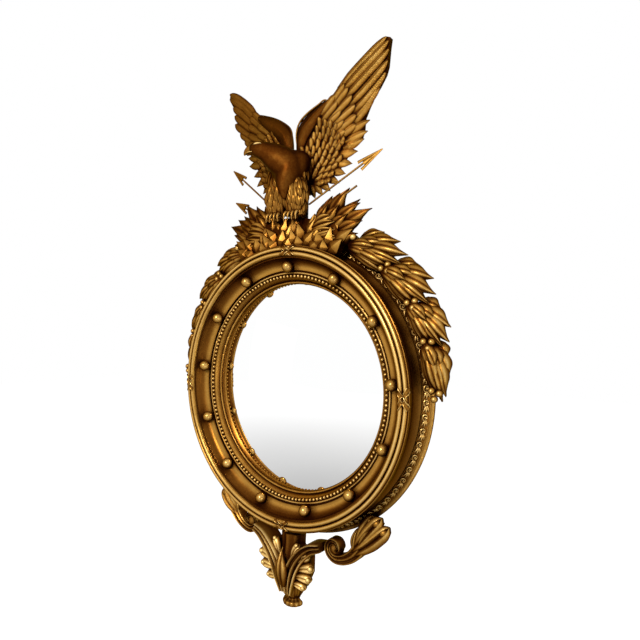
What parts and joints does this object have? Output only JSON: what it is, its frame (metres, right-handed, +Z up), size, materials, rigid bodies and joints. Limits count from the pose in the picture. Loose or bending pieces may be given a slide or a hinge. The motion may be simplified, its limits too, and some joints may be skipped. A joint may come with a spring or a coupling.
{
  "type": "girandole mirror",
  "caption": "Round convex wall mirror in a deep gilt frame with balls in its hollow, an eagle crest with arrows, leaf garlands down the sides and a leaf pendant.",
  "frame": {"origin": "centre of the round frame on its rear face, where it lies against the wall", "axes": "+Z up, -Y out of the wall towards the viewer, +X to the viewer's right"},
  "size_m": [0.6506, 0.1029, 1.069],
  "materials": {
    "gilt_frame": "turned wood, gessoed and water gilded, rubbed and toned dark in the hollows",
    "gilt_ornament": "cast composition ornament, gilded and toned",
    "gilt_balls": "turned wooden balls, burnished gilding",
    "pin_wood": "plain wooden peg",
    "mirror_glass": "convex silvered glass",
    "packing_felt": "felt packing ring",
    "back_board": "thin board, unfinished, darkened",
    "screw_steel": "plain steel countersunk screws",
    "hanger_brass": "brassed steel strap hanger",
    "strap_iron": "black wrought strap",
    "gilt_wire": "gilded wire with a flat pointed head",
    "gilt_eagle": "carved wood, gilded, toned dark on the smooth parts",
    "gilt_leaves": "carved wood, gilded, dark tone left in the cuts"
  },
  "bodies": {
    "mirror": {"arrow_left_lower": "gilt_wire", "arrow_left_upper": "gilt_wire", "arrow_right_lower": "gilt_wire", "arrow_right_upper": "gilt_wire", "backing_board": "back_board", "backing_screws": "screw_steel", "ball_01": "gilt_balls", "ball_02": "gilt_balls", "ball_03": "gilt_balls", "ball_04": "gilt_balls", "ball_05": "gilt_balls", "ball_06": "gilt_balls", "ball_07": "gilt_balls", "ball_08": "gilt_balls", "ball_09": "gilt_balls", "ball_10": "gilt_balls", "ball_11": "gilt_balls", "ball_12": "gilt_balls", "ball_13": "gilt_balls", "ball_pins": "pin_wood", "bead_row": "gilt_ornament", "cove_ring": "gilt_frame", "crest_berries": "gilt_leaves", "crest_block": "gilt_leaves", "crest_leaves_left": "gilt_leaves", "crest_leaves_right": "gilt_leaves", "crest_strap": "strap_iron", "eagle_body": "gilt_eagle", "eagle_claws": "gilt_eagle", "eagle_head": "gilt_eagle", "eagle_wing_left": "gilt_eagle", "eagle_wing_right": "gilt_eagle", "frame_ring": "gilt_frame", "garland_berries": "gilt_leaves", "garland_left_lower": "gilt_leaves", "garland_left_upper": "gilt_leaves", "garland_right_lower": "gilt_leaves", "garland_right_upper": "gilt_leaves", "glass_packing": "packing_felt", "hanger_strap_left": "hanger_brass", "hanger_strap_right": "hanger_brass", "inner_slip": "gilt_frame", "iron_screws": "screw_steel", "mirror_glass": "mirror_glass", "pendant_acanthus_left": "gilt_leaves", "pendant_acanthus_right": "gilt_leaves", "pendant_button": "gilt_leaves", "pendant_core": "gilt_leaves", "pendant_scroll_left": "gilt_leaves", "pendant_scroll_right": "gilt_leaves", "pendant_strap": "strap_iron", "reeded_rim": "gilt_frame", "ribbon_tie_bottom": "gilt_ornament", "ribbon_tie_left": "gilt_ornament", "ribbon_tie_right": "gilt_ornament", "ribbon_tie_top": "gilt_ornament", "scroll_strip": "gilt_ornament"},
    "ring_left": {"hanger_ring_left": "hanger_brass"},
    "ring_right": {"hanger_ring_right": "hanger_brass"}
  },
  "joints": [
    {"name": "hanger_ring_left_hinge", "type": "hinge", "parent": "mirror", "child": "ring_left", "pos_m": [-0.222, -0.00565, 0.14], "axis": [1, 0, 0], "range_deg": [0, 174]},
    {"name": "hanger_ring_right_hinge", "type": "hinge", "parent": "mirror", "child": "ring_right", "pos_m": [0.222, -0.00565, 0.14], "axis": [1, 0, 0], "range_deg": [0, 174]}
  ]
}
